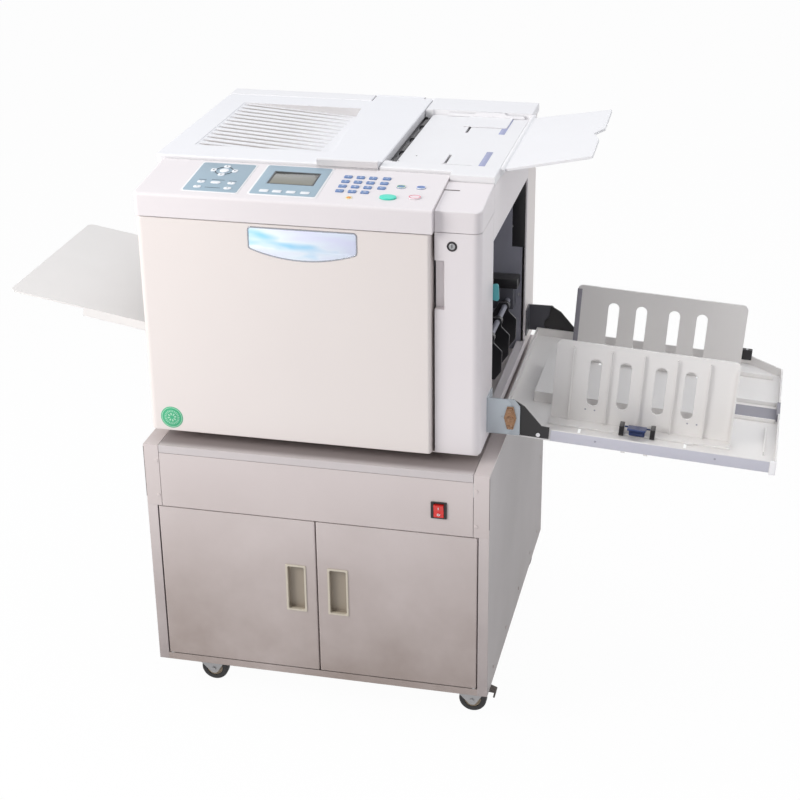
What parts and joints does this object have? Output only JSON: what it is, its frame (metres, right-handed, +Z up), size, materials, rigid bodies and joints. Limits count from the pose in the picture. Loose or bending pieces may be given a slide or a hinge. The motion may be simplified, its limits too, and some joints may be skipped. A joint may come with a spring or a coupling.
{
  "type": "digital duplicator on caster cabinet",
  "caption": "Office duplicator with a hinged front door, grooved top cover, document feed and folding paper trays, on a two-door caster cabinet.",
  "frame": {"origin": "on the floor, under the middle of the cabinet", "axes": "+X to the right seen from the front, where the printed sheets come out; +Y to the back; +Z up"},
  "size_m": [1.353, 0.6357, 0.9996],
  "materials": {
    "ivory": "fine moulded texture",
    "lid_white": "fine moulded texture",
    "cabinet_grey": "fine powder coat",
    "pull_beige": "moulded",
    "bezel_black": "moulded",
    "rocker_red": "gloss",
    "caster_steel": "zinc plated",
    "tyre_black": "moulded rubber tread on a plastic hub",
    "brake_black": "black paint",
    "frame_grey": "dark grey paint",
    "key_blue": "moulded",
    "start_green": "moulded",
    "stop_pink": "moulded",
    "pin_steel": "turned",
    "drum_steel": "satin",
    "gear_white": "moulded",
    "pinion_steel": "hobbed",
    "motor_dark": "dark paint",
    "roller_rubber": "ground rubber",
    "wing_black": "moulded",
    "lever_teal": "moulded",
    "bracket_steel": "zinc plated",
    "arm_black": "black paint",
    "tray_beige": "moulded",
    "lock_navy": "moulded"
  },
  "bodies": {
    "duplicator": {"cabinet_base": "cabinet_grey", "cabinet_left_side": "cabinet_grey", "cabinet_right_side": "cabinet_grey", "cabinet_back": "cabinet_grey", "cabinet_deck": "cabinet_grey", "cabinet_fascia": "cabinet_grey", "cabinet_corners": "cabinet_grey", "switch_housing": "bezel_black", "caster_plates": "caster_steel", "base_pan": "frame_grey", "works_frame": "frame_grey", "left_cover": "ivory", "right_cover": "ivory", "rear_cover": "ivory", "power_inlet": "bezel_black", "column_cover": "ivory", "console": "ivory", "hinge_pins": "pin_steel", "drive_motor": "motor_dark", "delivery_wings": "wing_black", "upper_frame": "lid_white", "document_table": "lid_white", "tray_brackets": "bracket_steel"},
    "cabinet_door_left": {"cabinet_door_left": "cabinet_grey", "door_pull_left": "pull_beige"},
    "cabinet_door_right": {"cabinet_door_right": "cabinet_grey", "door_pull_right": "pull_beige"},
    "print_drum": {"print_drum": "drum_steel", "drum_gear": "gear_white"},
    "output_tray": {"output_tray": "tray_beige", "tray_arms": "arm_black"},
    "switch_rocker": {"switch_rocker": "rocker_red"},
    "front_door": {"front_door": "ivory"},
    "number_keys": {"number_keys": "key_blue"},
    "start_button": {"start_button": "start_green"},
    "stop_button": {"stop_button": "stop_pink"},
    "drive_pinion": {"drive_pinion": "pinion_steel"},
    "press_roller": {"press_roller": "roller_rubber"},
    "pickup_roller": {"pickup_roller": "roller_rubber"},
    "release_lever": {"release_lever": "lever_teal"},
    "feed_elevator": {"feed_elevator": "frame_grey"},
    "feed_tray": {"feed_tray": "tray_beige"},
    "document_guide_near": {"document_guide_near": "lid_white"},
    "document_guide_far": {"document_guide_far": "lid_white"},
    "document_tray": {"document_tray": "lid_white"},
    "feeder_roller": {"feeder_roller": "roller_rubber"},
    "top_cover": {"top_cover": "lid_white"},
    "fence_near": {"fence_near": "tray_beige"},
    "fence_far": {"fence_far": "tray_beige"},
    "fence_lock": {"fence_lock": "lock_navy"},
    "caster_fork_front_left": {"caster_fork_front_left": "caster_steel"},
    "caster_wheel_front_left": {"caster_wheel_front_left": "tyre_black"},
    "caster_brake_front_left": {"caster_brake_front_left": "brake_black"},
    "caster_fork_front_right": {"caster_fork_front_right": "caster_steel"},
    "caster_wheel_front_right": {"caster_wheel_front_right": "tyre_black"},
    "caster_brake_front_right": {"caster_brake_front_right": "brake_black"},
    "caster_fork_rear_left": {"caster_fork_rear_left": "caster_steel"},
    "caster_wheel_rear_left": {"caster_wheel_rear_left": "tyre_black"},
    "caster_fork_rear_right": {"caster_fork_rear_right": "caster_steel"},
    "caster_wheel_rear_right": {"caster_wheel_rear_right": "tyre_black"}
  },
  "joints": [
    {"name": "cabinet_door_left_hinge", "type": "hinge", "parent": "duplicator", "child": "cabinet_door_left", "pos_m": [-0.28, -0.305, 0.23], "axis": [0, 0, -1], "range_deg": [0, 105]},
    {"name": "cabinet_door_right_hinge", "type": "hinge", "parent": "duplicator", "child": "cabinet_door_right", "pos_m": [0.28, -0.305, 0.23], "axis": [0, 0, 1], "range_deg": [0, 105]},
    {"name": "power_rocker", "type": "hinge", "parent": "duplicator", "child": "switch_rocker", "pos_m": [0.2185, -0.3048, 0.431], "axis": [-1, 0, 0], "range_deg": [0, 14]},
    {"name": "swivel_front_left", "type": "hinge", "parent": "duplicator", "child": "caster_fork_front_left", "pos_m": [-0.244, -0.255, 0.058], "axis": [0, 0, 1], "continuous": true},
    {"name": "roll_front_left", "type": "hinge", "parent": "caster_fork_front_left", "child": "caster_wheel_front_left", "pos_m": [-0.218, -0.255, 0.025], "axis": [0, 1, 0], "continuous": true},
    {"name": "brake_front_left", "type": "hinge", "parent": "caster_fork_front_left", "child": "caster_brake_front_left", "pos_m": [-0.198, -0.255, 0.05], "axis": [0, 1, 0], "range_deg": [0, 12]},
    {"name": "swivel_front_right", "type": "hinge", "parent": "duplicator", "child": "caster_fork_front_right", "pos_m": [0.244, -0.255, 0.058], "axis": [0, 0, 1], "continuous": true},
    {"name": "roll_front_right", "type": "hinge", "parent": "caster_fork_front_right", "child": "caster_wheel_front_right", "pos_m": [0.27, -0.255, 0.025], "axis": [0, 1, 0], "continuous": true},
    {"name": "brake_front_right", "type": "hinge", "parent": "caster_fork_front_right", "child": "caster_brake_front_right", "pos_m": [0.29, -0.255, 0.05], "axis": [0, 1, 0], "range_deg": [0, 12]},
    {"name": "swivel_rear_left", "type": "hinge", "parent": "duplicator", "child": "caster_fork_rear_left", "pos_m": [-0.244, 0.255, 0.058], "axis": [0, 0, 1], "continuous": true},
    {"name": "roll_rear_left", "type": "hinge", "parent": "caster_fork_rear_left", "child": "caster_wheel_rear_left", "pos_m": [-0.218, 0.255, 0.025], "axis": [0, 1, 0], "continuous": true},
    {"name": "swivel_rear_right", "type": "hinge", "parent": "duplicator", "child": "caster_fork_rear_right", "pos_m": [0.244, 0.255, 0.058], "axis": [0, 0, 1], "continuous": true},
    {"name": "roll_rear_right", "type": "hinge", "parent": "caster_fork_rear_right", "child": "caster_wheel_rear_right", "pos_m": [0.27, 0.255, 0.025], "axis": [0, 1, 0], "continuous": true},
    {"name": "front_door_hinge", "type": "hinge", "parent": "duplicator", "child": "front_door", "pos_m": [-0.289, -0.264, 0.715], "axis": [0, 0, -1], "range_deg": [0, 105]},
    {"name": "top_cover_hinge", "type": "hinge", "parent": "duplicator", "child": "top_cover", "pos_m": [0.016, 0.308, 0.96], "axis": [-1, 0, 0], "range_deg": [0, 60]},
    {"name": "number_keys_press", "type": "slide", "parent": "duplicator", "child": "number_keys", "axis": [0, 0.0982, -0.9952], "range_m": [0, 0.0012], "stiffness_N_per_m": 1500, "springref_m": -0.0005},
    {"name": "start_press", "type": "slide", "parent": "duplicator", "child": "start_button", "axis": [0, 0.0982, -0.9952], "range_m": [0, 0.0012], "stiffness_N_per_m": 600, "springref_m": -0.0005},
    {"name": "stop_press", "type": "slide", "parent": "duplicator", "child": "stop_button", "axis": [0, 0.0982, -0.9952], "range_m": [0, 0.0012], "stiffness_N_per_m": 600, "springref_m": -0.0005},
    {"name": "drum_turn", "type": "hinge", "parent": "duplicator", "child": "print_drum", "pos_m": [-0.03, 0, 0.75], "axis": [0, 1, 0], "continuous": true},
    {"name": "pinion_turn", "type": "hinge", "parent": "duplicator", "child": "drive_pinion", "pos_m": [0.03205, 0.2, 0.69793], "axis": [0, 1, 0], "continuous": true},
    {"name": "press_roller_turn", "type": "hinge", "parent": "duplicator", "child": "press_roller", "pos_m": [-0.03, 0, 0.6396], "axis": [0, 1, 0], "continuous": true},
    {"name": "pickup_roller_turn", "type": "hinge", "parent": "duplicator", "child": "pickup_roller", "pos_m": [-0.25, 0, 0.778], "axis": [0, 1, 0], "continuous": true},
    {"name": "feeder_roller_turn", "type": "hinge", "parent": "duplicator", "child": "feeder_roller", "pos_m": [0.09, 0.06, 0.953], "axis": [0, 1, 0], "continuous": true},
    {"name": "release_lever_pull", "type": "hinge", "parent": "duplicator", "child": "release_lever", "pos_m": [0.258, -0.164, 0.773], "axis": [0, -1, 0], "range_deg": [0, 25]},
    {"name": "elevator_lift", "type": "slide", "parent": "duplicator", "child": "feed_elevator", "axis": [0, 0, 1], "range_m": [0, 0.08]},
    {"name": "feed_tray_fold", "type": "hinge", "parent": "feed_elevator", "child": "feed_tray", "pos_m": [-0.324, 0, 0.667], "axis": [0, 1, 0], "range_deg": [0, 80]},
    {"name": "guide_near_slide", "type": "slide", "parent": "duplicator", "child": "document_guide_near", "axis": [0, 1, 0], "range_m": [0, 0.064]},
    {"name": "guide_far_slide", "type": "slide", "parent": "duplicator", "child": "document_guide_far", "axis": [0, -1, 0], "range_m": [0, 0.064]},
    {"name": "document_tray_fold", "type": "hinge", "parent": "duplicator", "child": "document_tray", "pos_m": [0.284, 0.056, 0.966], "axis": [0, -1, 0], "range_deg": [0, 150]},
    {"name": "output_tray_fold", "type": "hinge", "parent": "duplicator", "child": "output_tray", "pos_m": [0.327, 0.008, 0.563], "axis": [0, -1, 0], "range_deg": [0, 42]},
    {"name": "fence_near_slide", "type": "slide", "parent": "output_tray", "child": "fence_near", "axis": [0, 1, 0], "range_m": [-0.038, 0.045]},
    {"name": "fence_far_slide", "type": "slide", "parent": "output_tray", "child": "fence_far", "axis": [0, -1, 0], "range_m": [-0.038, 0.045]},
    {"name": "fence_lock_lift", "type": "hinge", "parent": "fence_near", "child": "fence_lock", "pos_m": [0.53095, -0.15, 0.53951], "axis": [-0.9981, 0, 0.061], "range_deg": [0, 40]}
  ],
  "couplings": [
    {"joint": "pinion_turn", "follows": "drum_turn", "ratio": -3},
    {"joint": "press_roller_turn", "follows": "drum_turn", "ratio": -4},
    {"joint": "guide_far_slide", "follows": "guide_near_slide", "ratio": 1},
    {"joint": "fence_far_slide", "follows": "fence_near_slide", "ratio": 1}
  ]
}
